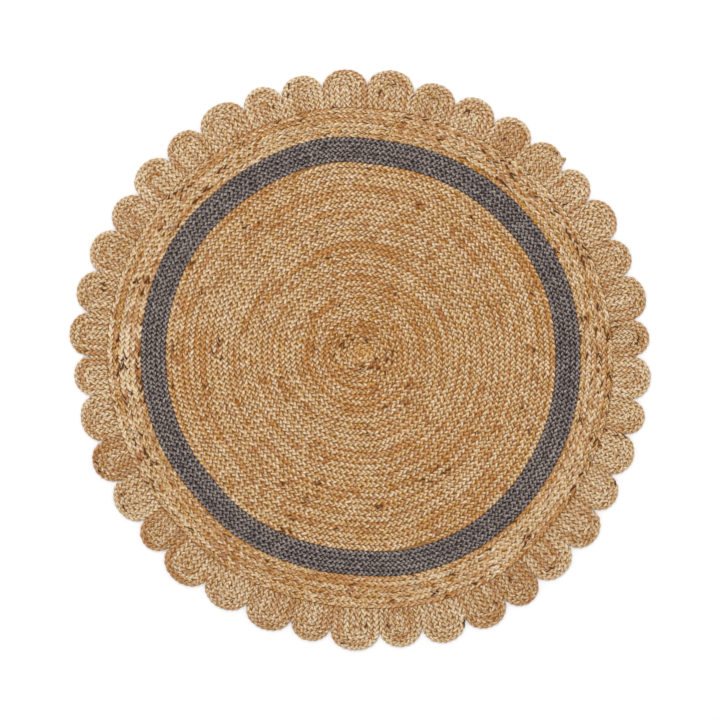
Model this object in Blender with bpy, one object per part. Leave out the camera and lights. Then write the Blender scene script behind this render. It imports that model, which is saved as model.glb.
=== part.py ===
"""A round plaited jute rug, 1.2 m across, lying flat.

Two flat plaits of natural jute are coiled clockwise from the middle, side by
side, and sewn edge to edge. Five rounds of grey-dyed plait and six more natural
rounds follow them, and forty scallops, each of plait folded into four nested
U-shaped rows, are sewn round the outside. A ridge of the coil is one turn of
its two plaits, and every other ridge is one plait.

Metres, +Z up. The origin is the coil's centre, on the surface the rug lies on.
Angles are in degrees, anticlockwise from +X as seen from above.
"""

import math
from collections import namedtuple

import bmesh
import bpy

MM = 0.001

# Driving dimensions.
SEWN_GAP = 0.3 * MM
BODY_CREST = 8.0 * MM
BODY_GROOVE = 6.2 * MM
SCALLOP_CREST = 7.2 * MM
SCALLOP_GROOVE = 5.6 * MM
SCALLOP_RIM = 4.0 * MM
COIL_TURNS = 17
BAND_ROUNDS = 5
BORDER_ROUNDS = 6
SCALLOP_ROWS = 4
BAND_WIDTH = 51 * MM
COIL_TAPER_TURNS = 0.075
COIL_END_SCALLOP = 10
SCALLOP_ROUND_END = 40 * MM
SCALLOP_ARC_STEPS = 8
FIRST_VALLEY_DEG = -0.5
SHARP_EDGE_DEG = 40

# The coil's inner turns are short, so they need fewer stations than the outer ones.
STATIONS_PER_SCALLOP = 2
COARSE_TURNS = 2
COARSE_STEP = 4
MIDDLE_TURNS = 11
MIDDLE_STEP = 2

# Hand-made, so not quite round: where the coiled field and the body's outer seam lie, in mm.
Section = namedtuple("Section", "angle field_edge seam")
SECTIONS = (
    Section(0, 403, 521),
    Section(20, 403, 517),
    Section(40, 398, 514),
    Section(60, 395, 508),
    Section(85, 393, 507),
    Section(98, 401, 512),
    Section(125, 398, 513),
    Section(150, 403, 518),
    Section(180, 403, 524),
    Section(205, 403, 519),
    Section(221, 400, 518),
    Section(232, 404, 520),
    Section(268, 405, 524),
    Section(281, 414, 531),
    Section(300, 418, 539),
    Section(320, 414, 529),
    Section(340, 409, 527),
)

# Each scallop's width where it meets the next one, and how far it reaches past the seam, in mm.
Scallop = namedtuple("Scallop", "width reach")
SCALLOPS = (
    Scallop(77, 77),
    Scallop(92, 83),
    Scallop(82, 78),
    Scallop(92, 84),
    Scallop(83, 78),
    Scallop(85, 75),
    Scallop(91, 76),
    Scallop(91, 75),
    Scallop(94, 74),
    Scallop(99, 83),
    Scallop(96, 79),
    Scallop(89, 76),
    Scallop(84, 77),
    Scallop(102, 82),
    Scallop(89, 78),
    Scallop(96, 81),
    Scallop(88, 75),
    Scallop(92, 80),
    Scallop(87, 79),
    Scallop(90, 79),
    Scallop(85, 70),
    Scallop(98, 72),
    Scallop(89, 79),
    Scallop(99, 77),
    Scallop(78, 77),
    Scallop(102, 84),
    Scallop(98, 78),
    Scallop(98, 81),
    Scallop(85, 79),
    Scallop(100, 88),
    Scallop(88, 81),
    Scallop(88, 87),
    Scallop(88, 86),
    Scallop(78, 83),
    Scallop(91, 85),
    Scallop(87, 89),
    Scallop(81, 79),
    Scallop(88, 76),
    Scallop(74, 77),
    Scallop(89, 79),
)

# Finishes: colour in linear light, and roughness.
NATURAL_JUTE = ("natural_jute", (0.50, 0.30, 0.14), 0.85)
GREY_JUTE = ("grey_jute", (0.14, 0.115, 0.105), 0.80)
SCALLOP_JUTE = ("scallop_jute", (0.50, 0.32, 0.17), 0.88)


def clear_scene():
    for obj in list(bpy.data.objects):
        bpy.data.objects.remove(obj, do_unlink=True)


def jute(name, colour, roughness):
    """The material of this name, made the first time it is asked for."""
    material = bpy.data.materials.get(name)
    if material:
        return material
    material = bpy.data.materials.new(name)
    material.use_nodes = True
    shader = material.node_tree.nodes["Principled BSDF"]
    shader.inputs["Base Color"].default_value = (*colour, 1)
    shader.inputs["Roughness"].default_value = roughness
    shader.inputs["Metallic"].default_value = 0
    return material


def section_size(column, angle):
    """A size from SECTIONS in metres, on a smooth closed curve through its rows."""
    angle %= 360
    index = max(i for i, row in enumerate(SECTIONS) if row.angle <= angle)
    near = []
    for step in (-1, 0, 1, 2):
        turns, place = divmod(index + step, len(SECTIONS))
        row = SECTIONS[place]
        near.append((row.angle + 360 * turns, getattr(row, column)))
    (a0, v0), (a1, v1), (a2, v2), (a3, v3) = near
    run = a2 - a1
    leaving = (v2 - v0) / (a2 - a0) * run
    arriving = (v3 - v1) / (a3 - a1) * run
    t = (angle - a1) / run
    rise = v2 - v1
    curve = v1 + leaving * t + (3 * rise - 2 * leaving - arriving) * t**2
    return (curve + (leaving + arriving - 2 * rise) * t**3) * MM


def valley_angles():
    """Where each scallop begins, and where the last one ends."""
    whole = sum(scallop.width for scallop in SCALLOPS)
    angles = [FIRST_VALLEY_DEG]
    for scallop in SCALLOPS:
        angles.append(angles[-1] + 360 * scallop.width / whole)
    return angles


def body_stations():
    """Angles round the body, clockwise from the coil's end, shared by every round and scallop."""
    valleys = valley_angles()
    angles = []
    for start, end in zip(valleys, valleys[1:]):
        for step in range(STATIONS_PER_SCALLOP):
            angles.append(start + (end - start) * step / STATIONS_PER_SCALLOP)
    first = COIL_END_SCALLOP * STATIONS_PER_SCALLOP + STATIONS_PER_SCALLOP // 2
    return [angles[first - i] for i in range(len(angles))]


def polar(radius, angle, height):
    turn = math.radians(angle)
    return (radius * math.cos(turn), radius * math.sin(turn), height)


def eased(t):
    t = min(1, max(0, t))
    return t * t * (3 - 2 * t)


def coil_radius(turns, angle, end_angle):
    """Radius of the sewn line this many turns out.

    The two plaits end half a turn apart, and each thins to its tucked end.
    """
    turned = (end_angle - angle) % 360 / 360
    since_end = turned % 0.5
    left = eased((since_end - 0.5 + COIL_TAPER_TURNS) / COIL_TAPER_TURNS)
    rounds = COIL_TURNS + since_end * (1 - left)
    return section_size("field_edge", angle) * min(1, turns / rounds)


def link(name, bm, finish):
    """Closes a sub-part's mesh into a named object with its finish."""
    bmesh.ops.recalc_face_normals(bm, faces=bm.faces)
    mesh = bpy.data.meshes.new(name)
    bm.to_mesh(mesh)
    bm.free()
    mesh.shade_smooth()
    mesh.set_sharp_from_angle(angle=math.radians(SHARP_EDGE_DEG))
    mesh.materials.append(jute(*finish))
    obj = bpy.data.objects.new(name, mesh)
    bpy.context.scene.collection.objects.link(obj)
    return obj


def join_lines(bm, first, second):
    """Triangles between two lines of (station, vertex), whichever line's next station comes first."""
    i = k = 0
    while i < len(first) - 1 or k < len(second) - 1:
        ahead = first[i + 1][0] if i < len(first) - 1 else math.inf
        other = second[k + 1][0] if k < len(second) - 1 else math.inf
        if ahead <= other:
            corners = (first[i][1], first[i + 1][1], second[k][1])
            i += 1
        else:
            corners = (first[i][1], second[k + 1][1], second[k][1])
            k += 1
        if len(set(corners)) == 3:
            bm.faces.new(corners)


def join_rings(bm, first, second):
    """Four-sided faces between two closed rings of as many vertices."""
    for i in range(len(first)):
        after = (i + 1) % len(first)
        bm.faces.new((first[i], first[after], second[after], second[i]))


def station_kept(station, per_turn):
    """Whether the coil has a station here: the short inner turns skip some."""
    if station < COARSE_TURNS * per_turn:
        return station % COARSE_STEP == 0
    if station < MIDDLE_TURNS * per_turn:
        return station % MIDDLE_STEP == 0
    return True


def make_field(stations):
    """The natural coil: its two plaits as one ridge, in a spiral that ends in a taper."""
    bm = bmesh.new()
    per_turn = len(stations)
    end_angle = stations[0]
    last = COIL_TURNS * per_turn

    def groove_point(station):
        angle = stations[station % per_turn]
        turns = station // per_turn + (end_angle - angle) % 360 / 360
        return polar(coil_radius(turns, angle, end_angle), angle, BODY_GROOVE)

    kept = [s for s in range(last + per_turn) if station_kept(s, per_turn)]
    grooves = [(s, bm.verts.new(groove_point(s))) for s in kept]
    groove_at = dict(grooves)
    groove_at[last + per_turn] = groove_at[last]
    grooves.append((last + per_turn, groove_at[last]))
    crests = []
    for station, inner in grooves:
        if station >= last:
            break
        outer = groove_point(station + per_turn)
        middle = [(a + b) / 2 for a, b in zip(inner.co[:2], outer[:2])]
        crests.append((station, bm.verts.new((*middle, BODY_CREST))))
    crests.append((last, groove_at[last]))

    inner_lines = [pair for pair in grooves if pair[0] <= last]
    outer_lines = [(s - per_turn, v) for s, v in grooves if s >= per_turn]
    join_lines(bm, inner_lines, crests)
    join_lines(bm, crests, outer_lines)
    centre = groove_at[0]
    first_turn = [v for s, v in grooves if 0 < s <= per_turn]
    for a, b in zip(first_turn, first_turn[1:]):
        bm.faces.new((centre, a, b))
    bm.faces.new((centre, first_turn[-1], crests[0][1]))

    edge = [v for s, v in grooves if last <= s < last + per_turn]
    under = [bm.verts.new((v.co.x, v.co.y, 0)) for v in edge]
    join_rings(bm, edge, under)
    bm.faces.new(under)
    return link("coiled_field", bm, NATURAL_JUTE)


def make_rounds(name, stations, inner, outer, rounds, finish):
    """Closed rounds of plait between two edges, each a function of the angle."""
    bm = bmesh.new()
    lines = [(0, 0)]
    for step in range(2 * rounds + 1):
        lines.append((step / (2 * rounds), BODY_CREST if step % 2 else BODY_GROOVE))
    lines.append((1, 0))
    rings = []
    for share, height in lines:
        ring = []
        for angle in stations:
            start = inner(angle)
            radius = start + (outer(angle) - start) * share
            ring.append(bm.verts.new(polar(radius, angle, height)))
        rings.append(ring)
    for ring, after in zip(rings, rings[1:] + rings[:1]):
        join_rings(bm, ring, after)
    return link(name, bm, finish)


def band_inner(angle):
    return section_size("field_edge", angle) + SEWN_GAP


def band_outer(angle):
    return band_inner(angle) + BAND_WIDTH


def border_inner(angle):
    return band_outer(angle) + SEWN_GAP


def border_outer(angle):
    return section_size("seam", angle)


def scallop_line(share, start, end, reach):
    """One U-shaped line of a scallop, as (radius, angle) from the seam round to the seam again."""
    middle = (start + end) / 2
    tip = section_size("seam", middle) + reach
    turn_centre = tip - SCALLOP_ROUND_END
    half = (end - start) / 2 - math.degrees(SEWN_GAP / 2 / turn_centre)
    points = []
    for step in range(SCALLOP_ARC_STEPS + 1):
        t = math.pi * (step / SCALLOP_ARC_STEPS - 0.5)
        radius = turn_centre + SCALLOP_ROUND_END * share * math.cos(t)
        points.append((radius, middle + half * share * math.sin(t)))
    first = points[0][1]
    last = points[-1][1]
    points.insert(0, (section_size("seam", first) + SEWN_GAP, first))
    points.append((section_size("seam", last) + SEWN_GAP, last))
    return points


def make_scallop(number, start, end, reach):
    """A tongue of plait folded into nested rows, flat against the body's seam."""
    bm = bmesh.new()
    levels = 2 * SCALLOP_ROWS
    lines = []
    for level in range(levels):
        height = SCALLOP_CREST if level % 2 else SCALLOP_GROOVE
        if level == 0:
            height = SCALLOP_RIM
        points = scallop_line(1 - level / levels, start, end, reach)
        lines.append([bm.verts.new(polar(r, a, height)) for r, a in points])
    for line, inside in zip(lines, lines[1:]):
        for i in range(len(line) - 1):
            bm.faces.new((line[i], line[i + 1], inside[i + 1], inside[i]))

    middle_line = scallop_line(0, start, end, reach)
    foot, fold = (bm.verts.new(polar(*point, SCALLOP_GROOVE)) for point in middle_line[:2])
    inmost = lines[-1]
    bm.faces.new((inmost[0], inmost[1], fold, foot))
    for a, b in zip(inmost[1:-1], inmost[2:-1]):
        bm.faces.new((a, b, fold))
    bm.faces.new((inmost[-2], inmost[-1], foot, fold))

    seam_end = [line[-1] for line in lines] + [foot] + [line[0] for line in lines[:0:-1]]
    outline = lines[0] + seam_end[1:]
    under = [bm.verts.new((v.co.x, v.co.y, 0)) for v in outline]
    join_rings(bm, outline, under)
    bm.faces.new(under)
    return link(f"scallop_{number:02d}", bm, SCALLOP_JUTE)


def main():
    clear_scene()
    stations = body_stations()
    make_field(stations)
    make_rounds("grey_band", stations, band_inner, band_outer, BAND_ROUNDS, GREY_JUTE)
    make_rounds("plain_border", stations, border_inner, border_outer, BORDER_ROUNDS, NATURAL_JUTE)
    valleys = valley_angles()
    for i, scallop in enumerate(SCALLOPS):
        make_scallop(i + 1, valleys[i], valleys[i + 1], scallop.reach * MM)


main()
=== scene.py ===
"""The looks of a round plaited jute rug, 1.2 m across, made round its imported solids.

Every row of the rug is a flat plait of three strands. The rows' middle lines come
from the edges of the solids, and one Geometry Nodes tree lays the strands on them.

Metres, +Z up. The origin is the coil's centre, on the surface the rug lies on.
Angles are in degrees, anticlockwise from +X as seen from above.
"""

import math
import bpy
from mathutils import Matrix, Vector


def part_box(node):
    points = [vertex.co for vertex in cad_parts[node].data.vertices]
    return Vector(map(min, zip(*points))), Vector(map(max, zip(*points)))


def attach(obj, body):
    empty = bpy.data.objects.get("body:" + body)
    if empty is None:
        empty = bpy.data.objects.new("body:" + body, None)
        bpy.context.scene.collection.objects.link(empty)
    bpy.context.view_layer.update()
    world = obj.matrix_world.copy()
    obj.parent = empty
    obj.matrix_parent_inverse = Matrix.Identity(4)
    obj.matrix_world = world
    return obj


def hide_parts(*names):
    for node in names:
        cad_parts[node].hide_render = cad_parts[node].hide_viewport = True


bl_info = {
    "name": "Round Jute Rug",
    "version": (1, 0, 0),
    "blender": (4, 5, 0),
    "location": "3D View > Sidebar > Jute Rug",
    "description": "Plaits the coil, dyed band, border and scallops of a round jute rug",
    "category": "Object",
}

from collections import namedtuple

import bpy
import numpy as np
from bpy.props import FloatProperty, FloatVectorProperty, IntProperty, PointerProperty
from bpy.types import Operator, Panel, PropertyGroup

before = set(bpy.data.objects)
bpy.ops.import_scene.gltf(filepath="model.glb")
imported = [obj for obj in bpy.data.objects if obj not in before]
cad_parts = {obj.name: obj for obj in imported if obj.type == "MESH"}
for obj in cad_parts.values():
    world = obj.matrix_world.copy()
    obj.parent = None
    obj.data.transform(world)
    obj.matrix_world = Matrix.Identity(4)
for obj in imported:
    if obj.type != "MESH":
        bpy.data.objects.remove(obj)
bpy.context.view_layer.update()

MM = 0.001
TURN = 2 * math.pi
BODY = "root"

# The solids.
FIELD = "coiled_field"
BAND = "grey_band"
BORDER = "plain_border"
SCALLOPS = sorted(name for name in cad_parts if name.startswith("scallop_"))

# The coil is two plaits that end half a turn apart, one of them at this scallop's middle.
COIL_PLAITS = 2
COIL_END = "scallop_11"
# The coil is made in stretches between these turns.
FIELD_STRETCHES = (0, 8, 13, 17)

# How a plait is stepped: three strands, each with two crossings on top in a wave.
STRANDS = 3
STEPS_PER_WAVE = 10
STRAND_SIDES = 5
CREST_FLATNESS = 1.2
# How much thinner a strand is where it turns back at the row's edge, and how suddenly.
TURN_TIGHTNESS = 0.3
TURN_SHARPNESS = 8.0

# How far apart a strand's rings are, as a share of the way round one.
RING_SHAPE = 0.24
# In the strands' map: the space beside each strip, and how far an end's face stands out of it.
MAP_MARGIN = 0.04
MAP_CAP = 0.4

# Points on the rows' middle lines.
ROUND_POINTS = 240
ARC_POINTS = 25
SIDE_POINTS = 8

# Attributes on the rows' middle lines and on the strands.
HALF_WIDTH = "half_width"
PLACE = "place"
ROW_SEED = "row_seed"
ALONG = "along"
AROUND = "around"
YARN = "yarn"
ROW = "row"
LEG = "leg_shade"
WARMTH = "warmth"
PLACE_PER_ROW = 20.0


# Sizes and colours that a user would change.


def length_prop(name, description, default, least=1 * MM):
    return FloatProperty(
        name=name, description=description, default=default, min=least, unit="LENGTH"
    )


def share_prop(name, description, default, least=0.0):
    return FloatProperty(
        name=name, description=description, default=default, min=least, max=1, subtype="FACTOR"
    )


def count_prop(name, description, default, least=1):
    return IntProperty(name=name, description=description, default=default, min=least)


def colour_prop(name, description, default):
    return FloatVectorProperty(
        name=name, description=description, default=default, subtype="COLOR", min=0, max=1
    )


def plait_props(leg_pitch, node, unevenness):
    """Sizes of the plait that stands for this solid."""
    return {
        "leg_pitch": length_prop(
            "Leg Pitch", "How far apart the legs of the plait are along a row", leg_pitch
        ),
        "depth": length_prop(
            "Depth", "Thickness of the plait where two strands cross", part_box(node)[1].z
        ),
        "sway": share_prop(
            "Sway",
            "How far a strand swings from the row's middle, as a share of its half width",
            0.78,
        ),
        "strand": share_prop(
            "Strand Width",
            "Half width of one strand, as a share of the row's half width",
            0.54,
            least=0.1,
        ),
        "slant": FloatProperty(
            name="Slant",
            description="How much of its crossing a strand does while it is on top",
            default=0.6,
            min=0,
            max=2,
        ),
        "unevenness": FloatProperty(
            name="Unevenness",
            description="How much the strands' width and pitch vary by hand",
            default=unevenness,
            min=0,
            max=2,
        ),
        "seed": count_prop("Seed", "Another number gives another hand-made variation", 7, 0),
    }


class FieldPlait(PropertyGroup):
    __annotations__ = plait_props(11.0 * MM, FIELD, 1.0)


class BandPlait(PropertyGroup):
    __annotations__ = plait_props(10.5 * MM, BAND, 0.85)


class BorderPlait(PropertyGroup):
    __annotations__ = plait_props(12.0 * MM, BORDER, 1.6)


class ScallopPlait(PropertyGroup):
    __annotations__ = plait_props(11.0 * MM, SCALLOPS[0], 1.0)


class RowLayout(PropertyGroup):
    coil_turns: count_prop("Coil Turns", "Turns that each of the coil's plaits makes", 17)
    taper_turns: share_prop(
        "Coil Taper",
        "Share of a turn in which each of the coil's plaits thins to its end",
        0.075,
        least=0.01,
    )
    band_rounds: count_prop("Band Rounds", "Rounds of dyed plait", 5)
    border_rounds: count_prop("Border Rounds", "Rounds of natural plait outside the band", 6)
    scallop_rows: count_prop("Scallop Rows", "Nested rows in each scallop", 4)
    scallop_round_end: length_prop(
        "Scallop Round End",
        "How far a scallop's round end reaches past its straight sides",
        40 * MM,
    )
    sewn_gap: length_prop(
        "Sewn Gap", "Space between the border and the scallops' feet", 0.3 * MM, least=0
    )


class JuteColours(PropertyGroup):
    cream: colour_prop("Cream", "Palest straw fibres", (0.86, 0.69, 0.455))
    straw: colour_prop("Straw", "Most of the fibres", (0.77, 0.505, 0.21))
    honey: colour_prop("Honey", "Warmer fibres", (0.65, 0.315, 0.065))
    rust: colour_prop("Rust", "Orange-brown fibres", (0.45, 0.155, 0.013))
    streak: colour_prop("Streak", "Orange streaks that follow a row", (0.57, 0.23, 0.045))
    rusty: colour_prop("Rusty Legs", "Rusty legs here and there", (0.42, 0.13, 0.022))
    bark: colour_prop("Bark", "Dark flecks of bark left in the jute", (0.085, 0.022, 0.004))
    grey_light: colour_prop("Light Grey", "Worn, paler dyed fibres", (0.44, 0.355, 0.32))
    grey: colour_prop("Grey", "Most of the dyed fibres", (0.19, 0.148, 0.134))
    grey_dark: colour_prop("Dark Grey", "Deeply dyed fibres", (0.05, 0.037, 0.037))
    # Painted shade: the colour mixed into the strands' sides and into the hollows between
    # strands, where shade falls, and the colour of the web between them.
    shade: colour_prop("Shade", "Jute deep between the strands", (0.33, 0.118, 0.010))
    # Painted shade on dyed jute, as for Shade, and also the colour of the band's few bark flecks.
    grey_shade_and_bark: colour_prop(
        "Grey Shade", "Dyed jute deep between the strands", (0.025, 0.019, 0.02)
    )


class StageSettings(PropertyGroup):
    floor: colour_prop("Floor", "Colour of the plain floor", (0.92, 0.92, 0.92))
    view_width: length_prop("View Width", "Width of floor that the picture shows", 1.4897, 0.1)
    view_centre: FloatVectorProperty(
        name="View Centre",
        description="The point at the picture's middle",
        default=(-1.2 * MM, -12.0 * MM, 0),
        subtype="TRANSLATION",
        unit="LENGTH",
    )
    camera_height: length_prop("Camera Height", "How far above the rug the camera is", 5.0, 1)
    key_power: FloatProperty(
        name="Key Light",
        description="Power of the soft light",
        default=90.0,
        min=0,
        unit="POWER",
    )
    fill: FloatProperty(
        name="Fill Light",
        description="Strength of the even light from all round",
        default=0.9,
        min=0,
    )


class JuteRug(PropertyGroup):
    field_plait: PointerProperty(type=FieldPlait)
    band_plait: PointerProperty(type=BandPlait)
    border_plait: PointerProperty(type=BorderPlait)
    scallop_plait: PointerProperty(type=ScallopPlait)
    rows: PointerProperty(type=RowLayout)
    colours: PointerProperty(type=JuteColours)
    stage: PointerProperty(type=StageSettings)


# Nodes, written as arithmetic.


class Wire:
    """A node's output. Arithmetic on it adds Math nodes to its tree."""

    def __init__(self, graph, node, output=0):
        self.graph = graph
        self.node = node
        self.socket = node.outputs[output] if node.outputs else None

    def other(self, output):
        return Wire(self.graph, self.node, output)

    def __add__(self, value):
        return self.graph.maths("ADD", self, value)

    def __radd__(self, value):
        return self.graph.maths("ADD", value, self)

    def __sub__(self, value):
        return self.graph.maths("SUBTRACT", self, value)

    def __rsub__(self, value):
        return self.graph.maths("SUBTRACT", value, self)

    def __mul__(self, value):
        return self.graph.maths("MULTIPLY", self, value)

    def __rmul__(self, value):
        return self.graph.maths("MULTIPLY", value, self)

    def __truediv__(self, value):
        return self.graph.maths("DIVIDE", self, value)

    def __abs__(self):
        return self.graph.maths("ABSOLUTE", self)


class Graph:
    """A node tree that is written as calls."""

    def __init__(self, tree):
        self.tree = tree

    def node(self, kind, settings=None, inputs=None, output=0):
        """Adds a node with its settings, then the values or links of its sockets."""
        made = self.tree.nodes.new(kind)
        for name, value in (settings or {}).items():
            if name == "stops":
                self.set_stops(made.color_ramp.elements, value)
            else:
                setattr(made, name, value)
        for key, value in (inputs or {}).items():
            if isinstance(value, Wire):
                self.tree.links.new(value.socket, made.inputs[key])
            else:
                made.inputs[key].default_value = value
        return Wire(self, made, output)

    def set_stops(self, elements, stops):
        while len(elements) < len(stops):
            elements.new(1)
        for element, (position, colour) in zip(elements, stops):
            element.position = position
            element.color = (*colour, 1)

    def maths(self, operation, *values):
        return self.node("ShaderNodeMath", {"operation": operation}, dict(enumerate(values)))

    def vector(self, operation, *values):
        settings = {"operation": operation}
        return self.node("ShaderNodeVectorMath", settings, dict(enumerate(values)))

    def combine(self, x, y, z):
        return self.node("ShaderNodeCombineXYZ", None, {"X": x, "Y": y, "Z": z})

    def noise(self, vector, scale, detail=2.0, roughness=0.5):
        values = {"Vector": vector, "Scale": scale, "Detail": detail, "Roughness": roughness}
        return self.node("ShaderNodeTexNoise", None, values)

    def smooth(self, value, low, high):
        """0 below low, 1 above high, and smooth between."""
        values = {"Value": value, "From Min": low, "From Max": high}
        return self.node("ShaderNodeMapRange", {"interpolation_type": "SMOOTHSTEP"}, values)

    def mix(self, share, first, second):
        values = {0: share, 6: first, 7: second}
        return self.node("ShaderNodeMix", {"data_type": "RGBA"}, values, output=2)


# Sizes read from the solids.


def node_points(name):
    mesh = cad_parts[name].data
    found = np.empty(len(mesh.vertices) * 3, np.float32)
    mesh.vertices.foreach_get("co", found)
    return found.reshape(-1, 3).astype(float)


def angle_of(points):
    return np.degrees(np.arctan2(points[:, 1], points[:, 0]))


def polar(radius, angle, height):
    turn = np.radians(angle)
    height = np.broadcast_to(height, np.shape(turn))
    return np.stack([radius * np.cos(turn), radius * np.sin(turn), height], axis=-1)


class Edge:
    """The inner or outer edge of a round solid: a radius for every angle."""

    BOTTOM = 0.1 * MM
    STATION_DEG = 0.5

    def __init__(self, name, outer=True):
        points = node_points(name)
        points = points[points[:, 2] < self.BOTTOM]
        angle = angle_of(points)
        radius = np.hypot(points[:, 0], points[:, 1])
        order = np.argsort(angle)
        starts = np.flatnonzero(np.diff(angle[order]) > self.STATION_DEG) + 1
        stations = np.split(order, starts)
        self.angles = [angle[station].mean() for station in stations]
        self.radii = [radius[s].max() if outer else radius[s].min() for s in stations]

    def __call__(self, angle):
        return np.interp(angle, self.angles, self.radii, period=360)


class Tongue:
    """A scallop's outline: straight sides from the seam, and a round end."""

    def __init__(self, name, rows, seam):
        points = node_points(name)
        towards = angle_of(points.mean(axis=0)[None])[0]
        angle = (angle_of(points) - towards + 180) % 360 - 180
        self.middle = towards + (angle.min() + angle.max()) / 2
        self.half = (angle.max() - angle.min()) / 2
        self.round_end = rows.scallop_round_end
        self.turn_centre = np.hypot(points[:, 0], points[:, 1]).max() - self.round_end
        self.gap = rows.sewn_gap
        self.seam = seam

    def line(self, share, height):
        """One U-shaped line, from foot to foot. Share is 1 at the rim and 0 in the middle."""
        turn = np.radians(np.linspace(-90, 90, ARC_POINTS))
        radius = self.turn_centre + self.round_end * share * np.cos(turn)
        angle = self.middle + self.half * share * np.sin(turn)
        feet = self.seam(angle[[0, -1]]) + self.gap
        climb = np.linspace(0, 1, SIDE_POINTS, endpoint=False)
        rising = feet[0] + (self.turn_centre - feet[0]) * climb
        falling = (feet[1] + (self.turn_centre - feet[1]) * climb)[::-1]
        radius = np.concatenate([rising, radius, falling])
        before = np.full(SIDE_POINTS, angle[0])
        after = np.full(SIDE_POINTS, angle[-1])
        return polar(radius, np.concatenate([before, angle, after]), height)


# Rows: a middle line with its half width at each point.


class Row:
    def __init__(self, points, half_width, closed, seed):
        self.points = points
        self.half_width = half_width
        self.closed = closed
        self.seed = seed

    def places(self):
        """How far along the row each point is, apart from every other row's places."""
        steps = np.linalg.norm(np.diff(self.points, axis=0), axis=1)
        return PLACE_PER_ROW * self.seed + np.concatenate([[0], np.cumsum(steps)])


def eased(t):
    t = np.clip(t, 0, 1)
    return t * t * (3 - 2 * t)


def coil_rows(rug, edge, first_turn, last_turn, seed):
    """A stretch of the coil's plaits, which run clockwise.

    Each widens from the middle in its first half turn, and thins to its tucked end.
    """
    layout = rug.rows
    apart = 1 / COIL_PLAITS
    end_angle = Tongue(COIL_END, layout, edge).middle
    if first_turn == 0:
        first_turn = -apart
    count = round((last_turn - first_turn) * ROUND_POINTS) + 1
    turns = np.linspace(first_turn, last_turn, count)
    since_end = turns % apart
    left = eased((since_end - apart + layout.taper_turns) / layout.taper_turns)
    rounds = layout.coil_turns + since_end * (1 - left)
    rows = []
    for number in range(COIL_PLAITS):
        angle = end_angle - 360 * (turns + number * apart)
        inner = edge(angle) * np.clip(turns / rounds, 0, 1)
        outer = edge(angle) * np.minimum(1, (turns + apart) / rounds)
        points = polar((inner + outer) / 2, angle, rug.field_plait.depth / 2)
        rows.append(Row(points, (outer - inner) / 2, False, seed + number))
    return rows


GOLDEN_ANGLE = 137.5


def closed_rows(plait, inner, outer, count, seed):
    """Rounds of plait between two edges. Each starts at another angle."""
    rows = []
    for i in range(count):
        start = GOLDEN_ANGLE * (seed + i)
        angle = start - np.arange(ROUND_POINTS) * 360 / ROUND_POINTS
        width = outer(angle) - inner(angle)
        radius = inner(angle) + width * (i + 0.5) / count
        points = polar(radius, angle, plait.depth / 2)
        rows.append(Row(points, width / (2 * count), True, seed + i))
    return rows


def scallop_rows(rug, tongue, seed):
    """Nested U-shaped rows, from the rim inwards."""
    count = rug.rows.scallop_rows
    height = rug.scallop_plait.depth / 2
    rows = []
    for i in range(count):
        outer = tongue.line(1 - i / count, height)
        middle = tongue.line(1 - (i + 0.5) / count, height)
        inner = tongue.line(1 - (i + 1) / count, height)
        half_width = np.linalg.norm(outer - inner, axis=1) / 2
        rows.append(Row(middle, half_width, False, seed + i))
    return rows


def guide_object(name, rows):
    """The rows' middle lines as edges, with what the plait tree reads on their points."""
    points = np.concatenate([row.points for row in rows])
    edges = []
    first = 0
    for row in rows:
        last = first + len(row.points) - 1
        edges += [(i, i + 1) for i in range(first, last)]
        if row.closed:
            edges.append((last, first))
        first = last + 1
    mesh = bpy.data.meshes.new(name)
    mesh.from_pydata(points.tolist(), edges, [])
    for attribute, values in (
        (HALF_WIDTH, [row.half_width for row in rows]),
        (PLACE, [row.places() for row in rows]),
        (ROW_SEED, [np.full(len(row.points), row.seed) for row in rows]),
    ):
        layer = mesh.attributes.new(attribute, "FLOAT", "POINT")
        layer.data.foreach_set("value", np.concatenate(values).astype(np.float32))
    guide = bpy.data.objects.new(name, mesh)
    bpy.context.scene.collection.objects.link(guide)
    return guide


# The plait tree.

PLAIT = "Three Strand Plait"
PLAIT_SIZES = (
    "Leg Pitch",
    "Depth",
    "Half Width",
    "Sway",
    "Strand Width",
    "Slant",
    "Unevenness",
)
# How often the plaiter's hand changes in a metre, and how far that moves a crossing.
LOOSE_REPEATS = 45.0
LOOSE_PHASE = 3.2
# How often in a metre a strand is thicker and thinner.
SWELL_REPEATS = 90.0
# How far apart in the noise two seeds are, and how far apart in phase two rows are.
SEED_STEP = 1.7
ROW_PHASE = 2.4
# How much longer a strand is than its row, and how far apart two strands' fibres are.
STRAND_TAKE_UP = 1.4
STRAND_STEP = 7.3
# A leg begins where its strand lies lowest, this share of a leg before the row's middle.
LEG_START = 0.25
# Numbers that keep the legs of every strand and row apart.
LEGS_PER_STRAND = 5000
LEGS_PER_ROW = 20000


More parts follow.
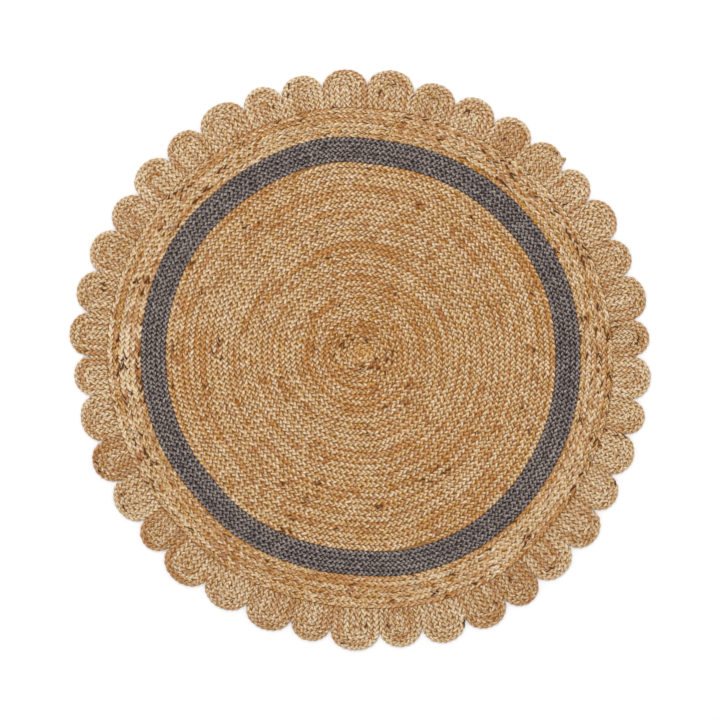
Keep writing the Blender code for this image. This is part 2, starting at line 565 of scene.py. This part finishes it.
class PlaitTree(Graph):
    """Geometry Nodes that lay three crossing strands along each row's middle line."""

    def __init__(self):
        super().__init__(bpy.data.node_groups.new(PLAIT, "GeometryNodeTree"))
        self.make_sockets()
        self.given = self.node("NodeGroupInput")
        self.quarter = self.given.other("Depth") / 4
        self.fullness = self.named(HALF_WIDTH) / self.given.other("Half Width")
        shift = self.combine(self.given.other("Seed") * SEED_STEP, 0, 0)
        self.hand = self.vector("ADD", self.node("GeometryNodeInputPosition"), shift)

        strands = self.stepped_strands()
        number = strands.other("Duplicate Index")
        phase = self.phase(number)
        sine = self.maths("SINE", phase)
        swing = sine * self.maths("POWER", abs(sine), self.given.other("Slant"))
        strands = self.marked(strands, number, phase, swing)
        strands = self.crossed(strands, phase, swing)
        mesh = self.thickened(strands, sine)
        mesh = self.node("GeometryNodeRealizeInstances", None, {"Geometry": mesh})
        values = {"Geometry": mesh, "Material": self.given.other("Finish")}
        mesh = self.node("GeometryNodeSetMaterial", None, values)
        self.node("NodeGroupOutput", None, {"Plait": mesh})

    def make_sockets(self):
        kinds = [("Rows", "Geometry")]
        kinds += [(name, "Float") for name in PLAIT_SIZES]
        kinds += [("Seed", "Int"), ("Finish", "Material")]
        sockets = self.tree.interface
        for name, kind in kinds:
            sockets.new_socket(name=name, in_out="INPUT", socket_type=f"NodeSocket{kind}")
        sockets.new_socket(name="Plait", in_out="OUTPUT", socket_type="NodeSocketGeometry")

    def named(self, attribute):
        settings = {"data_type": "FLOAT"}
        return self.node("GeometryNodeInputNamedAttribute", settings, {"Name": attribute})

    def store(self, geometry, attribute, value, kind="FLOAT"):
        settings = {"data_type": kind, "domain": "POINT"}
        values = {"Geometry": geometry, "Name": attribute, "Value": value}
        return self.node("GeometryNodeStoreNamedAttribute", settings, values)

    def stepped_strands(self):
        """Three copies of each row's line, with whole waves, so that a round meets itself."""
        curves = self.node("GeometryNodeMeshToCurve", None, {"Mesh": self.given.other("Rows")})
        length = self.node("GeometryNodeSplineLength")
        closed = self.node("GeometryNodeInputSplineCyclic")
        wavelength = self.given.other("Leg Pitch") * STRANDS
        waves = self.maths("MAXIMUM", self.maths("ROUND", length / wavelength), 1)
        values = {"Curve": curves, "Count": waves * STEPS_PER_WAVE + (1 - closed)}
        stepped = self.node("GeometryNodeResampleCurve", {"mode": "COUNT"}, values)
        values = {"Geometry": stepped, "Amount": STRANDS}
        return self.node("GeometryNodeDuplicateElements", {"domain": "SPLINE"}, values)

    def phase(self, number):
        """How far round its waves a strand is. Each is a third of a wave from the next."""
        step = self.node("GeometryNodeSplineParameter", output="Index")
        phase = step * (TURN / STEPS_PER_WAVE) + number * (TURN / STRANDS)
        phase = phase + self.named(ROW_SEED) * ROW_PHASE
        loose = self.noise(self.hand, LOOSE_REPEATS) - 0.5
        return phase + loose * self.given.other("Unevenness") * LOOSE_PHASE

    def marked(self, strands, number, phase, swing):
        """Stores what the finish needs: places on the strand and row, and each leg's shade."""
        along = self.named(PLACE) * STRAND_TAKE_UP + number * STRAND_STEP
        strands = self.store(strands, ALONG, along)
        place = self.combine(self.named(PLACE), swing, self.named(ROW_SEED))
        strands = self.store(strands, ROW, place, "FLOAT_VECTOR")
        leg = self.maths("FLOOR", phase / math.pi + LEG_START)
        leg = leg + number * LEGS_PER_STRAND + self.named(ROW_SEED) * LEGS_PER_ROW
        values = {"ID": leg, "Seed": self.given.other("Seed")}
        shade = self.node("FunctionNodeRandomValue", {"data_type": "FLOAT"}, values, output=1)
        return self.store(strands, LEG, shade)

    def crossed(self, strands, phase, swing):
        """Moves the strands aside, and up or down to where they pass each other."""
        sideways = swing * self.given.other("Sway") * self.named(HALF_WIDTH)
        crest = self.maths("TANH", self.maths("SINE", phase * 2) * CREST_FLATNESS)
        lift = crest / math.tanh(CREST_FLATNESS) * self.quarter * self.fullness
        tangent = self.node("GeometryNodeInputTangent")
        across = self.vector("NORMALIZE", self.vector("CROSS_PRODUCT", tangent, (0, 0, 1)))
        values = {0: across, "Scale": sideways}
        aside = self.node("ShaderNodeVectorMath", {"operation": "SCALE"}, values)
        offset = self.vector("ADD", aside, self.combine(0, 0, lift))
        values = {"Geometry": strands, "Offset": offset}
        strands = self.node("GeometryNodeSetPosition", None, values)
        return self.node("GeometryNodeSetCurveNormal", {"mode": "Z_UP"}, {"Curve": strands})

    def section(self, width, height):
        """A strand's flattened section, with a flat top and each corner's number."""
        values = {"Resolution": STRAND_SIDES, "Radius": 1}
        ring = self.node("GeometryNodeCurvePrimitiveCircle", None, values)
        ring = self.store(ring, AROUND, self.node("GeometryNodeSplineParameter", output="Index"))
        values = {
            "Geometry": ring,
            "Translation": self.combine(0, height - self.quarter, 0),
            "Rotation": (0, 0, -TURN / 4),
            "Scale": self.combine(height, width, 1),
        }
        return self.node("GeometryNodeTransform", None, values)

    def thickened(self, strands, sine):
        """Makes the strands solid, a little thicker here and thinner there."""
        width = self.given.other("Strand Width") * self.given.other("Half Width")
        flat_top = math.cos(math.pi / STRAND_SIDES)
        height = self.quarter * (2 / (1 + flat_top))
        swell = self.noise(self.hand, SWELL_REPEATS) - 0.5
        tight = self.maths("POWER", abs(sine), TURN_SHARPNESS) * TURN_TIGHTNESS
        values = {
            "Curve": strands,
            "Profile Curve": self.section(width, height),
            "Scale": self.fullness * (1 + swell * self.given.other("Unevenness")) * (1 - tight),
            "Fill Caps": True,
        }
        mesh = self.node("GeometryNodeCurveToMesh", None, values)
        around = self.named(AROUND) * (TURN / STRAND_SIDES)
        aside = self.maths("SINE", around) * width
        up = self.maths("COSINE", around) * height
        yarn = self.combine(self.named(ALONG), aside, up)
        return self.store(mesh, YARN, yarn, "FLOAT_VECTOR")


def lay_out_map(mesh):
    """A map of the strands, cut into strips side by side, for a finish drawn as an image."""
    corners = np.empty(len(mesh.loops), np.int32)
    mesh.loops.foreach_get("vertex_index", corners)
    starts = np.empty(len(mesh.polygons), np.int32)
    mesh.polygons.foreach_get("loop_start", starts)
    sizes = np.empty(len(mesh.polygons), np.int32)
    mesh.polygons.foreach_get("loop_total", sizes)
    face = np.repeat(np.arange(len(starts)), sizes)
    ring = corners // STRAND_SIDES
    side = corners % STRAND_SIDES

    # The face that closes a tube, or a round, ends one past its last corner.
    quad = (sizes == 4)[face]
    lowest = np.minimum.reduceat(side, starts)[face]
    highest = np.maximum.reduceat(side, starts)[face]
    side = side + STRAND_SIDES * (quad & (highest - lowest > 1) & (side == 0))
    first = np.minimum.reduceat(ring, starts)[face]
    last = np.maximum.reduceat(ring, starts)[face]
    closing = quad & (last - first > 1)
    ring = np.where(closing, np.where(ring == first, last + 1, last), ring)
    first = np.where(closing, last, first)

    rings = len(mesh.vertices) // STRAND_SIDES
    strips = max(1, round(math.sqrt(rings * RING_SHAPE)))
    rings_per_strip = math.ceil(rings / strips)
    strip = first // rings_per_strip
    up = ring - strip * rings_per_strip
    cap_bulge = np.where(quad, 0, MAP_CAP * np.sin(TURN * side / STRAND_SIDES))
    u = (strip + MAP_MARGIN + (1 - 2 * MAP_MARGIN) * side / STRAND_SIDES) / strips
    v = (up + 0.5 + cap_bulge) / (rings_per_strip + 1)
    layer = mesh.uv_layers.new(name="OFBake")
    layer.uv.foreach_set("vector", np.stack([u, v], axis=1).astype(np.float32).ravel())


def plaited(name, rows, plait, finish, warmth=0.0):
    """A piece of plait laid along these rows."""
    tree = bpy.data.node_groups.get(PLAIT) or PlaitTree().tree
    guide = guide_object(name + "_rows", rows)
    modifier = guide.modifiers.new("Plait", "NODES")
    modifier.node_group = tree
    half_width = float(np.median(np.concatenate([row.half_width for row in rows])))
    given = {
        "Leg Pitch": plait.leg_pitch,
        "Depth": plait.depth,
        "Half Width": half_width,
        "Sway": plait.sway,
        "Strand Width": plait.strand,
        "Slant": plait.slant,
        "Unevenness": plait.unevenness,
        "Seed": plait.seed,
        "Finish": finish,
    }
    for socket in tree.interface.items_tree:
        if socket.name in given:
            modifier[socket.identifier] = given[socket.name]
    bpy.context.view_layer.update()
    evaluated = guide.evaluated_get(bpy.context.evaluated_depsgraph_get())
    mesh = bpy.data.meshes.new_from_object(evaluated)
    bpy.data.objects.remove(guide)
    if not mesh.polygons:
        raise RuntimeError(f"{name} came out with no plait")
    mesh.name = name
    for spare in (HALF_WIDTH, PLACE, ROW_SEED, ALONG, AROUND):
        if spare in mesh.attributes:
            mesh.attributes.remove(mesh.attributes[spare])
    layer = mesh.attributes.new(WARMTH, "FLOAT", "POINT")
    layer.data.foreach_set("value", np.full(len(mesh.vertices), warmth, np.float32))
    lay_out_map(mesh)
    mesh.shade_smooth()
    piece = bpy.data.objects.new(name, mesh)
    bpy.context.scene.collection.objects.link(piece)
    return piece


def fit(piece, node):
    """The piece stands for this solid: it hangs from the rug's body, and the solid is hidden."""
    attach(piece, BODY)
    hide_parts(node)


# Finishes.

GLOSS = 0.3
WEB_ROUGHNESS = 0.95
# The tones at which the colours of natural and dyed jute are reached, from dark to light.
NATURAL_TONES = (0.22, 0.40, 0.58, 0.82)
DYED_TONES = (0.25, 0.52, 0.80)


def empty_material(name):
    material = bpy.data.materials.new(name)
    material.use_nodes = True
    material.node_tree.nodes.clear()
    return material


def finish_surface(graph, colour, roughness, normal=None):
    values = {"Base Color": colour, "Roughness": roughness, "Specular IOR Level": GLOSS}
    if normal is not None:
        values["Normal"] = normal
    shader = graph.node("ShaderNodeBsdfPrincipled", None, values)
    graph.node("ShaderNodeOutputMaterial", None, {"Surface": shader})


# A finish: its colours, its shares of flecked and rusty legs, and how strong its streaks, its
# runs and patches, and its painted shade on the strands' sides and between them are.
Look = namedtuple("Look", "stops rusty streak bark shade flecks rusty_legs streaks variety notch")

# From and to: where the coil's tight core ends, where the worn part round it does,
# and where the darker middle does.
CORE = (14 * MM, 30 * MM)
WORN = (45 * MM, 80 * MM)
MIDDLE = (0, 240 * MM)

# How often each noise repeats in a metre: along a strand or row, then across it.
FIBRES = (60, 1500, 1500)
PLIES = (200, 520, 520)
RUNS = (1.8, 0.2, 3.7)
CLUSTER_RUNS = (7.0, 0, 3.7)
STREAKS = (5.0, 5.3, 3.7)
PATCHES = 5.0
CLUSTERS = 24.0
CORE_RINGS = (40, 420)
FUZZ = 400.0

# The usual tone, and how far each cause moves it.
TONE = 0.66
LEG_TONE = 0.22
FIBRE_TONE = 0.5
PLY_TONE = 2.05
PATCH_TONE = 0.3
RUN_TONE = 0.75
WARMTH_TONE = 0.14
MIDDLE_TONE = 0.09
CORE_TONE = 0.47
CORE_RING_TONE = 1.3
CORE_FIBRE_TONE = 0.6
FUZZ_TONE = 0.6

# A leg's shade times one of these, less its whole part, is another random number for it.
PALE_DRAW = 37.1
RUSTY_DRAW = 91.7
# From a warm leg to a pale one.
SATURATION = (1.11, 0.81)
VALUE = (0.88, 0.98)
RUSTY_STRENGTH = 0.8
RUSTY_EDGE = 0.2

# Where clusters begin in their noise, how strong they are, and how much so round the core.
CLUSTER_LEVEL = 0.55
CLUSTER_STRENGTH = 1.2
WORN_CLUSTER = 0.16

STREAK_EDGE = (0.57, 0.62)
STREAK_STRENGTH = (0.3, 0.9)
# A leg is flecked where its shade and its cluster reach this level, less the finish's share.
FLECK_LEVEL = 1.1
FLECK_EDGE = 0.01
FLECK_SIDE = (-1.6 * MM, -0.6 * MM)

CORE_SHARE = 0.65
# The share of the painted shade that the coil's core keeps.
CORE_SHADE = 0.6
# Painted shade, from and to: aside on a strand, where its side turns from the light, and up or
# down from the middle as a share of the way, where shade falls between strands.
SHADED_SIDE = (1.6 * MM, 2.8 * MM)
SHADED_DEPTH = (0.3, 0.8)

BUMP_HEIGHT = 1.6 * MM
BUMP_STRENGTH = 0.9
FIBRE_RELIEF = 0.5
ROUGHNESS = 0.77
FIBRE_ROUGHNESS = 0.3


def between(ends, share):
    return ends[0] + share * (ends[1] - ends[0])


class JuteShader(Graph):
    """The nodes of a plaited jute finish, put on in layers."""

    def __init__(self, material, look, depth):
        super().__init__(material.node_tree)
        self.look = look
        self.leg = self.stored(LEG)
        self.warmth = self.stored(WARMTH)
        self.row = self.stored(ROW, "Vector")
        self.in_row = self.node("ShaderNodeSeparateXYZ", None, {0: self.row})
        yarn = self.stored(YARN, "Vector")
        self.aside = self.node("ShaderNodeSeparateXYZ", None, {0: yarn}, output="Y")
        self.fibre = self.stretched_noise(yarn, FIBRES, 3.0, 0.6) - 0.5
        self.ply = self.stretched_noise(yarn, PLIES) - 0.5
        self.spot = self.node("ShaderNodeTexCoord", output="Object")
        self.radius = self.vector("LENGTH", self.spot).other("Value")
        self.in_core = 1 - self.smooth(self.radius, *CORE)

        cluster = self.clusters()
        colour = self.ramp(self.tone())
        colour = self.tinted(colour, cluster)
        colour = self.streaked(colour)
        colour = self.flecked(colour, cluster)
        colour = self.worn_core(colour)
        colour = self.shaded(colour, depth)
        relief = self.fibre * FIBRE_RELIEF + self.ply
        values = {"Strength": BUMP_STRENGTH, "Distance": BUMP_HEIGHT, "Height": relief}
        normal = self.node("ShaderNodeBump", None, values)
        finish_surface(self, colour, ROUGHNESS + self.fibre * FIBRE_ROUGHNESS, normal)

    def stored(self, attribute, output="Fac"):
        settings = {"attribute_type": "GEOMETRY", "attribute_name": attribute}
        return self.node("ShaderNodeAttribute", settings, None, output)

    def stretched_noise(self, vector, repeats, detail=1.0, roughness=0.5):
        return self.noise(self.vector("MULTIPLY", vector, repeats), 1.0, detail, roughness)

    def ramp(self, tone):
        return self.node("ShaderNodeValToRGB", {"stops": self.look.stops}, {"Fac": tone})

    def tone(self):
        """How light the jute is, by leg, fibre, ply, patch, run, piece and place."""
        patch = self.noise(self.spot, PATCHES) - 0.5
        run = self.stretched_noise(self.row, RUNS) - 0.5
        near_middle = 1 - self.smooth(self.radius, *MIDDLE)
        tone = TONE + (self.leg - 0.5) * LEG_TONE
        tone = tone + self.fibre * FIBRE_TONE + self.ply * PLY_TONE
        tone = tone + (patch * PATCH_TONE + run * RUN_TONE) * self.look.variety
        return tone - self.warmth * WARMTH_TONE - near_middle * MIDDLE_TONE

    def clusters(self):
        """Where rusty and flecked legs are: round a spot, down a row, and round the core."""
        round_spot = self.noise(self.spot, CLUSTERS, 1.0)
        down_row = self.stretched_noise(self.row, CLUSTER_RUNS)
        cluster = self.maths("MAXIMUM", round_spot, down_row) - CLUSTER_LEVEL
        worn = (1 - self.in_core) * (1 - self.smooth(self.radius, *WORN))
        return cluster * CLUSTER_STRENGTH + worn * WORN_CLUSTER

    def tinted(self, colour, cluster):
        """Makes some legs paler and some rusty."""
        pale = self.maths("FRACT", self.leg * PALE_DRAW)
        values = {
            "Saturation": between(SATURATION, pale),
            "Value": between(VALUE, pale),
            "Color": colour,
        }
        colour = self.node("ShaderNodeHueSaturation", None, values)
        rusty = self.maths("FRACT", self.leg * RUSTY_DRAW) + cluster
        level = 1 - self.look.rusty_legs
        rusty = self.smooth(rusty, level, level + RUSTY_EDGE)
        return self.mix(rusty * RUSTY_STRENGTH, colour, (*self.look.rusty, 1))

    def streaked(self, colour):
        """Adds orange streaks, each on one side of its row."""
        along, aside, from_row_to_row = STREAKS
        side = self.maths("SIGN", self.in_row.other("Y"))
        row = self.in_row.other("Z")
        place = self.combine(self.in_row * along, side * aside, row * from_row_to_row)
        streak = self.smooth(self.noise(place, 1.0, 1.0), *STREAK_EDGE)
        streak = streak * between(STREAK_STRENGTH, self.leg) * self.look.streaks
        return self.mix(streak, colour, (*self.look.streak, 1))

    def flecked(self, colour, cluster):
        """Adds flecks of bark to single legs, short of one side."""
        level = FLECK_LEVEL - self.look.flecks
        fleck = self.smooth(self.leg + cluster, level, level + FLECK_EDGE)
        fleck = fleck * self.smooth(self.aside, *FLECK_SIDE)
        return self.mix(fleck, colour, (*self.look.bark, 1))

    def worn_core(self, colour):
        """Wears the coil's tight first turns down to fine rings."""
        along, across = CORE_RINGS
        place = self.combine(self.radius * across, self.in_row * along, 0)
        ring = self.noise(place, 1.0, 1.0) - 0.5
        tone = CORE_TONE + ring * CORE_RING_TONE + self.fibre * CORE_FIBRE_TONE
        return self.mix(self.in_core * CORE_SHARE, colour, self.ramp(tone))

    def shaded(self, colour, depth):
        """Paints shade: darkens the strands' sides, where they turn from the light, and what lies
        deep between them, where shade falls.
        """
        side = self.smooth(abs(self.aside), *SHADED_SIDE)
        height = self.node("ShaderNodeSeparateXYZ", None, {0: self.spot}, output="Z")
        from_middle = abs(height - depth / 2) / (depth / 2)
        sunk = 1 - self.smooth(from_middle, *SHADED_DEPTH)
        shade = self.maths("MAXIMUM", side, sunk) * self.look.notch
        shade = shade * between((1, CORE_SHADE), self.in_core)
        return self.mix(shade, colour, (*self.look.shade, 1))


def jute_finish(name, look, depth):
    material = bpy.data.materials.get(name)
    if not material:
        material = empty_material(name)
        JuteShader(material, look, depth)
    return material


def faded(colour, share):
    """The colour with this share of its own grey mixed in."""
    grey = sum(colour) / 3
    return tuple(part + (grey - part) * share for part in colour)


def natural_finish(colours, name, depth, flecks, rusty_legs, variety, notch, fade=0.0):
    warm = [faded(colour, fade) for colour in (colours.rust, colours.honey, colours.straw)]
    look = Look(
        stops=list(zip(NATURAL_TONES, [*warm, colours.cream])),
        rusty=colours.rusty,
        streak=faded(colours.streak, fade),
        bark=colours.bark,
        shade=faded(colours.shade, fade),
        flecks=flecks,
        rusty_legs=rusty_legs,
        streaks=1.0,
        variety=variety,
        notch=notch,
    )
    return jute_finish(name, look, depth)


def grey_finish(colours, name, depth, flecks, notch):
    greys = (colours.grey_dark, colours.grey, colours.grey_light)
    look = Look(
        stops=list(zip(DYED_TONES, greys)),
        rusty=colours.grey_light,
        streak=colours.grey_dark,
        bark=colours.grey_shade_and_bark,
        shade=colours.grey_shade_and_bark,
        flecks=flecks,
        rusty_legs=0.02,
        streaks=0.3,
        variety=0.5,
        notch=notch,
    )
    return jute_finish(name, look, depth)


# The web's finish: painted shade, the shade colour with noise that darkens it in places.
def web_shade_finish(name, shade):
    material = empty_material(name)
    graph = Graph(material.node_tree)
    spot = graph.node("ShaderNodeTexCoord", output="Object")
    fuzz = graph.noise(spot, FUZZ)
    darker = tuple(FUZZ_TONE * part for part in shade) + (1,)
    colour = graph.mix(fuzz, darker, (*shade, 1))
    finish_surface(graph, colour, WEB_ROUGHNESS)
    return material


# Operators: one for each piece or group of like pieces, and one for the stage.


class JUTERUG_OT_coiled_field(Operator):
    """Plait the natural coil, in stretches that follow each other"""

    bl_idname = "jute_rug.coiled_field"
    bl_label = "Coiled Field"

    def execute(self, context):
        rug = context.scene.jute_rug
        edge = Edge(FIELD)
        plait = rug.field_plait
        finish = natural_finish(
            rug.colours,
            "field_jute",
            plait.depth,
            flecks=0.0,
            rusty_legs=0.14,
            variety=0.6,
            notch=0.64,
        )
        stretches = zip(FIELD_STRETCHES, FIELD_STRETCHES[1:])
        for number, (first, last) in enumerate(stretches, start=1):
            rows = coil_rows(rug, edge, first, last, COIL_PLAITS * number)
            piece = plaited(f"coiled_plait_{number}", rows, plait, finish)
            fit(piece, FIELD)
        return {"FINISHED"}


class JUTERUG_OT_grey_band(Operator):
    """Plait the dyed rounds"""

    bl_idname = "jute_rug.grey_band"
    bl_label = "Grey Band"

    FIRST_SEED = 11

    def execute(self, context):
        rug = context.scene.jute_rug
        plait = rug.band_plait
        count = rug.rows.band_rounds
        rows = closed_rows(plait, Edge(BAND, False), Edge(BAND), count, self.FIRST_SEED)
        finish = grey_finish(rug.colours, "dyed_jute", plait.depth, flecks=-0.1, notch=0.85)
        piece = plaited("grey_plait", rows, plait, finish)
        fit(piece, BAND)
        return {"FINISHED"}


class JUTERUG_OT_plain_border(Operator):
    """Plait the natural rounds outside the dyed ones"""

    bl_idname = "jute_rug.plain_border"
    bl_label = "Plain Border"

    FIRST_SEED = 21

    def execute(self, context):
        rug = context.scene.jute_rug
        plait = rug.border_plait
        count = rug.rows.border_rounds
        rows = closed_rows(plait, Edge(BORDER, False), Edge(BORDER), count, self.FIRST_SEED)
        finish = natural_finish(
            rug.colours,
            "border_jute",
            plait.depth,
            flecks=0.12,
            rusty_legs=0.14,
            variety=1.3,
            notch=0.36,
            fade=0.04,
        )
        piece = plaited("border_plait", rows, plait, finish)
        fit(piece, BORDER)
        return {"FINISHED"}


class JUTERUG_OT_scallops(Operator):
    """Plait each scallop's nested rows"""

    bl_idname = "jute_rug.scallops"
    bl_label = "Scallops"

    # How warm a scallop's jute may be, and the angles at which it is the warmest.
    WARMTH = (-0.3, 0.45)
    WARM_AT = (57, 98, 203, 218, 235, 295, 305)
    NEAR_DEG = 4.5
    # More space at the scallops' feet, where the seam shows: the web's painted shade shows
    # through it as a dark line.
    SEAM_SHOWING = 0.8 * MM
    # The tucked end of a plait that sticks out of one scallop's rim, folded double.
    TAIL_TIP = (424 * MM, 405 * MM)
    TAIL_STARTS = ((405 * MM, 399 * MM), (411 * MM, 391 * MM))
    TAIL_HALF_WIDTHS = (5.5 * MM, 1.6 * MM)
    TAIL_POINTS = 5
    TAIL_SEED = 29
    FIRST_SEED = 30

    def tail(self, plait):
        rows = []
        for start in self.TAIL_STARTS:
            points = np.linspace(start, self.TAIL_TIP, self.TAIL_POINTS)
            points = np.column_stack([points, np.full(self.TAIL_POINTS, plait.depth / 2)])
            half_width = np.linspace(*self.TAIL_HALF_WIDTHS, self.TAIL_POINTS)
            rows.append(Row(points, half_width, False, self.TAIL_SEED))
        return rows

    def execute(self, context):
        rug = context.scene.jute_rug
        seam = Edge(BORDER)
        plait = rug.scallop_plait
        finish = natural_finish(
            rug.colours,
            "edge_jute",
            plait.depth,
            flecks=0.0,
            rusty_legs=0.0,
            variety=1.1,
            notch=0.38,
            fade=0.16,
        )
        vary = np.random.default_rng(plait.seed)
        tail_angle = angle_of(np.array([self.TAIL_TIP]))[0]
        for number, node in enumerate(SCALLOPS, start=1):
            tongue = Tongue(node, rug.rows, seam)
            tongue.gap += self.SEAM_SHOWING
            seed = self.FIRST_SEED + number * rug.rows.scallop_rows
            rows = scallop_rows(rug, tongue, seed)
            if abs(tongue.middle - tail_angle) < tongue.half:
                rows += self.tail(plait)
            warmth = vary.uniform(*self.WARMTH)
            if any(abs(tongue.middle % 360 - angle) < self.NEAR_DEG for angle in self.WARM_AT):
                warmth = 1.0
            piece = plaited(f"{node}_plait", rows, plait, finish, warmth)
            fit(piece, node)
        return {"FINISHED"}


class JUTERUG_OT_web(Operator):
    """Lay a sheet inside the plaits in the painted shade colour, that fills their gaps with shade
    """

    bl_idname = "jute_rug.web"
    bl_label = "Sewn Web"

    INSET = 4 * MM
    THICKNESS = 0.8 * MM
    # The strips of faces under the dyed band, which take the dyed jute's painted shade, counted
    # from the top's middle over the edge and back.
    GREY_SHADE_STRIPS = (1, 5)

    def execute(self, context):
        rug = context.scene.jute_rug
        rim = self.rim(rug)
        mesh = bpy.data.meshes.new("shade_web")
        mesh.materials.append(web_shade_finish("shaded_jute", rug.colours.shade))
        mesh.materials.append(web_shade_finish("shaded_dyed_jute", rug.colours.grey_shade_and_bark))
        self.fill(mesh, self.points(rug, rim), len(rim))
        piece = bpy.data.objects.new("shade_web", mesh)
        context.scene.collection.objects.link(piece)
        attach(piece, BODY)
        return {"FINISHED"}

    def rim(self, rug):
        """The scallops' round ends as x and y, in order round the rug."""
        seam = Edge(BORDER)
        lines = [Tongue(node, rug.rows, seam).line(1, 0) for node in SCALLOPS]
        rim = np.concatenate([line[SIDE_POINTS:-SIDE_POINTS, :2] for line in lines])
        return rim[np.argsort(np.arctan2(rim[:, 1], rim[:, 0]))]

    def points(self, rug, rim):
        bottom = (rug.scallop_plait.depth - self.THICKNESS) / 2
        top = bottom + self.THICKNESS
        angle = angle_of(rim)
        outer = np.hypot(rim[:, 0], rim[:, 1]) - self.INSET
        radii = [Edge(FIELD)(angle), Edge(BAND)(angle), outer]
        rings = [polar(radius, angle, top) for radius in radii]
        rings += [polar(radius, angle, bottom) for radius in reversed(radii)]
        return np.concatenate([[(0, 0, top)], *rings, [(0, 0, bottom)]])

    def fill(self, mesh, points, count):
        """Joins the two middles and the rings between them, of so many points each."""
        bottom_middle = len(points) - 1
        ring_starts = range(1, bottom_middle, count)
        faces = []
        finishes = []
        for i in range(count):
            after = (i + 1) % count
            faces.append((0, 1 + i, 1 + after))
            finishes.append(0)
            for strip, (low, high) in enumerate(zip(ring_starts, ring_starts[1:]), start=1):
                faces.append((low + i, high + i, high + after, low + after))
                finishes.append(1 if strip in self.GREY_SHADE_STRIPS else 0)
            last = ring_starts[-1]
            faces.append((last + i, bottom_middle, last + after))
            finishes.append(0)
        mesh.from_pydata(points.tolist(), [], faces)
        mesh.polygons.foreach_set("material_index", finishes)


class JUTERUG_OT_stage(Operator):
    """Set the plain floor, the soft light and the camera above the rug"""

    bl_idname = "jute_rug.stage"
    bl_label = "Stage"

    FLOOR_HALF = 6.0
    FLOOR_DROP = 0.2 * MM
    FLOOR_GRAIN = 30.0
    FLOOR_GRAIN_TONE = 0.99
    FLOOR_ROUGHNESS = 0.9
    SENSOR = 36.0
    FAR_CLIP = 100
    KEY_SIZE = 2.5
    KEY_PLACE = (-0.6, 2.4, 4.8)

    def execute(self, context):
        stage = context.scene.jute_rug.stage
        self.make_floor(context, stage)
        self.make_light(context, stage)
        self.make_camera(context, stage)
        context.scene.view_settings.view_transform = "Standard"
        return {"FINISHED"}

    def make_floor(self, context, stage):
        half = self.FLOOR_HALF
        corners = [(-half, -half), (half, -half), (half, half), (-half, half)]
        mesh = bpy.data.meshes.new("floor")
        mesh.from_pydata([(x, y, -self.FLOOR_DROP) for x, y in corners], [], [(0, 1, 2, 3)])
        material = empty_material("floor_paint")
        graph = Graph(material.node_tree)
        spot = graph.node("ShaderNodeTexCoord", output="Object")
        grain = graph.noise(spot, self.FLOOR_GRAIN)
        darker = tuple(self.FLOOR_GRAIN_TONE * part for part in stage.floor) + (1,)
        colour = graph.mix(grain, darker, (*stage.floor, 1))
        finish_surface(graph, colour, self.FLOOR_ROUGHNESS)
        mesh.materials.append(material)
        floor = bpy.data.objects.new("floor", mesh)
        context.scene.collection.objects.link(floor)

    def make_light(self, context, stage):
        lamp = bpy.data.lights.new("key", "AREA")
        lamp.energy = stage.key_power
        lamp.size = self.KEY_SIZE
        key = bpy.data.objects.new("key", lamp)
        key.location = self.KEY_PLACE
        aim = -key.location
        key.rotation_euler = aim.to_track_quat("-Z", "Y").to_euler()
        context.scene.collection.objects.link(key)
        world = bpy.data.worlds.new("soft_room")
        world.use_nodes = True
        background = world.node_tree.nodes["Background"]
        background.inputs["Color"].default_value = (1, 1, 1, 1)
        background.inputs["Strength"].default_value = stage.fill
        context.scene.world = world

    def make_camera(self, context, stage):
        data = bpy.data.cameras.new("camera")
        data.sensor_width = self.SENSOR
        data.lens = self.SENSOR * stage.camera_height / stage.view_width
        data.clip_end = self.FAR_CLIP
        camera = bpy.data.objects.new("camera", data)
        x, y, _ = stage.view_centre
        camera.location = (x, y, stage.camera_height)
        context.scene.collection.objects.link(camera)
        context.scene.camera = camera


class JUTERUG_PT_rug(Panel):
    """Makes the rug's pieces one by one"""

    bl_idname = "JUTERUG_PT_rug"
    bl_label = "Jute Rug"
    bl_space_type = "VIEW_3D"
    bl_region_type = "UI"
    bl_category = "Jute Rug"

    def draw(self, context):
        for operator in OPERATORS:
            self.layout.operator(operator.bl_idname)
        rug = context.scene.jute_rug
        for group_name in JuteRug.__annotations__:
            group = getattr(rug, group_name)
            box = self.layout.box()
            for name in type(group).__annotations__:
                box.prop(group, name)


OPERATORS = (
    JUTERUG_OT_coiled_field,
    JUTERUG_OT_grey_band,
    JUTERUG_OT_plain_border,
    JUTERUG_OT_scallops,
    JUTERUG_OT_stage,
    JUTERUG_OT_web,
)
GROUPS = (
    FieldPlait,
    BandPlait,
    BorderPlait,
    ScallopPlait,
    RowLayout,
    JuteColours,
    StageSettings,
    JuteRug,
)
CLASSES = (*GROUPS, *OPERATORS, JUTERUG_PT_rug)


def register():
    for each in CLASSES:
        bpy.utils.register_class(each)
    bpy.types.Scene.jute_rug = PointerProperty(type=JuteRug)


def unregister():
    del bpy.types.Scene.jute_rug
    for each in reversed(CLASSES):
        bpy.utils.unregister_class(each)


def main():
    register()
    bpy.ops.jute_rug.coiled_field()
    bpy.ops.jute_rug.grey_band()
    bpy.ops.jute_rug.plain_border()
    bpy.ops.jute_rug.scallops()
    bpy.ops.jute_rug.stage()
    bpy.ops.jute_rug.web()


if __name__ == "__main__":
    main()
